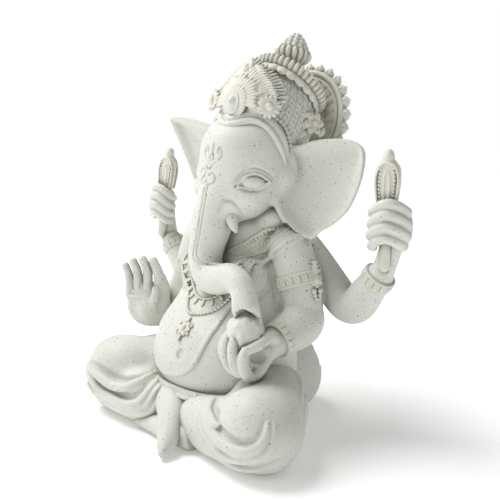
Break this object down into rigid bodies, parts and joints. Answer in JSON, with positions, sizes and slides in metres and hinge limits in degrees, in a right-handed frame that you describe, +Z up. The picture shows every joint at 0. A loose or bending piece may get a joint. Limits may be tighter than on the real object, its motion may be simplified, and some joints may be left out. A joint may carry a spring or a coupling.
{
  "type": "ganesha idol",
  "caption": "Seated elephant-headed idol with raised palm, sweet in the other hand, domed crown and disc behind it, standing on its own flat underside.",
  "frame": {"origin": "middle of the flat underside, on the surface that the idol stands on", "axes": "+Z up, the figure faces -Y, its own left hand is on +X"},
  "size_m": [0.1648, 0.1049, 0.1804],
  "materials": {
    "cast_stone": "matte off-white cast stone with fine dark grey speckles",
    "felt": "dark felt",
    "steel": "plain steel rod"
  },
  "bodies": {
    "root": {"armlet_left": "cast_stone", "armlet_right": "cast_stone", "bead_string": "cast_stone", "belly_front": "cast_stone", "collar": "cast_stone", "crown_band": "cast_stone", "crown_cap": "cast_stone", "crown_dome": "cast_stone", "crown_flowers": "cast_stone", "crown_frill": "cast_stone", "crown_knuckles": "cast_stone", "dhoti_seat": "cast_stone", "diadem_plumes": "cast_stone", "dowel_pins": "steel", "ear_left": "cast_stone", "ear_right": "cast_stone", "felt_pad": "felt", "finial": "cast_stone", "fist_left": "cast_stone", "fist_right": "cast_stone", "foot_left": "cast_stone", "foot_right": "cast_stone", "front_arm_left": "cast_stone", "front_arm_right": "cast_stone", "front_bracelet_left": "cast_stone", "front_bracelet_right": "cast_stone", "goad_left": "cast_stone", "goad_right": "cast_stone", "halo_beads": "cast_stone", "halo_disc": "cast_stone", "hand_left": "cast_stone", "hand_right": "cast_stone", "head": "cast_stone", "laddoo": "cast_stone", "leg_left": "cast_stone", "leg_right": "cast_stone", "medallion": "cast_stone", "pendant": "cast_stone", "rear_arm_left": "cast_stone", "rear_arm_right": "cast_stone", "rear_bracelet_left": "cast_stone", "rear_bracelet_right": "cast_stone", "torso": "cast_stone", "trunk": "cast_stone", "tusk_left": "cast_stone", "tusk_right": "cast_stone", "waistband": "cast_stone"}
  },
  "joints": []
}
